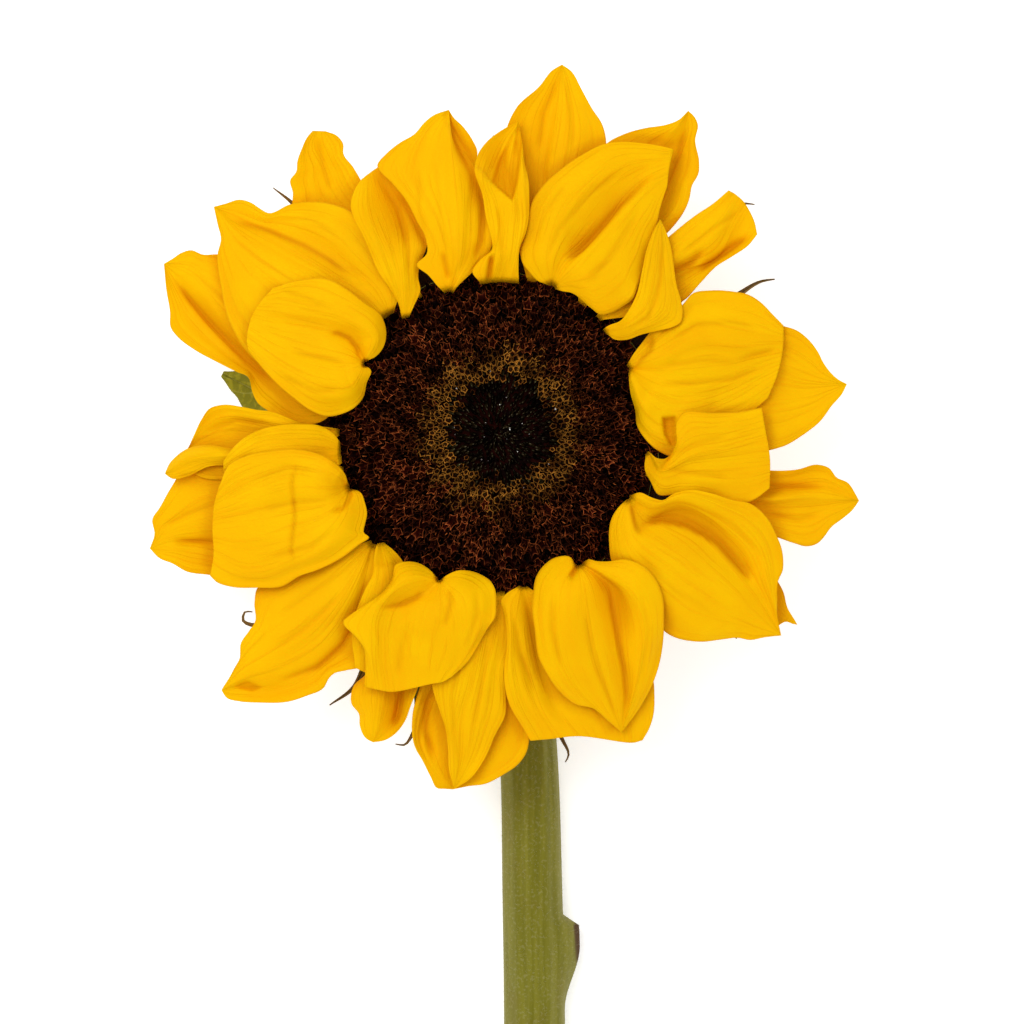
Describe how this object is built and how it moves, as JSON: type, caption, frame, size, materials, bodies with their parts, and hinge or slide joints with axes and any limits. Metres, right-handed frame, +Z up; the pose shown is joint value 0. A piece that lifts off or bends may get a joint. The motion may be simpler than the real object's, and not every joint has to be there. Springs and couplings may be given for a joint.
{
  "type": "cut sunflower",
  "caption": "Cut sunflower lying on its back: a dark disc of florets ringed by broad overlapping yellow ray petals, green bracts, one upper leaf and a bare green stem",
  "frame": {"origin": "Under the middle of the flower's box, on the surface that it lies on", "axes": "+Z up out of the disc's face, -Y down the stem towards its cut end, +X to the right as the disc is looked down on"},
  "size_m": [0.132, 0.3306, 0.0506],
  "materials": {
    "petal": "soft golden-yellow petal skin with fine veins running along it, deeper orange in the folds",
    "disc_outer_florets": "maroon-black open florets with thin orange-brown rims",
    "disc_inner_florets": "golden-brown opening florets with dark centres",
    "disc_buds": "dark green-black closed buds with pale points",
    "receptacle": "fleshy green cup",
    "stem": "olive-green stem, downy, with brown leaf scars and a pale pith at the cut",
    "bract": "green pointed bracts with dry brown tips",
    "leaf": "green leaf with paler veins"
  },
  "bodies": {
    "root": {"stem": "stem", "receptacle": "receptacle", "disc_buds": "disc_buds", "disc_inner_florets": "disc_inner_florets", "disc_outer_florets": "disc_outer_florets", "leaf_upper": "leaf", "bract_01": "bract", "bract_02": "bract", "bract_03": "bract", "bract_04": "bract", "bract_05": "bract", "bract_06": "bract", "bract_07": "bract", "bract_08": "bract", "bract_09": "bract", "bract_10": "bract", "bract_11": "bract", "bract_12": "bract", "bract_13": "bract", "bract_14": "bract", "bract_15": "bract", "bract_16": "bract", "bract_17": "bract", "bract_18": "bract", "bract_19": "bract", "bract_20": "bract", "bract_21": "bract", "petal_n_back": "petal", "petal_ne_back": "petal", "petal_e_back": "petal", "petal_ese_back": "petal", "petal_se_back": "petal", "petal_s_back": "petal", "petal_ssw_back": "petal", "petal_wsw_back": "petal", "petal_wnw_back": "petal", "petal_nnw_back": "petal", "petal_w_back": "petal", "petal_ne_middle": "petal", "petal_w_curled": "petal", "petal_w_middle": "petal", "petal_e_middle": "petal", "petal_s_middle": "petal", "petal_sw_middle": "petal", "petal_sw_sliver": "petal", "petal_nw_middle": "petal", "petal_s_right": "petal", "petal_nnw_middle": "petal", "petal_e_front": "petal", "petal_se_front": "petal", "petal_ne_front": "petal", "petal_n_middle": "petal", "petal_n_front": "petal", "petal_sse_front": "petal", "petal_ssw_front": "petal", "petal_w_front": "petal", "petal_nw_front": "petal", "petal_ene_front": "petal"}
  },
  "joints": []
}
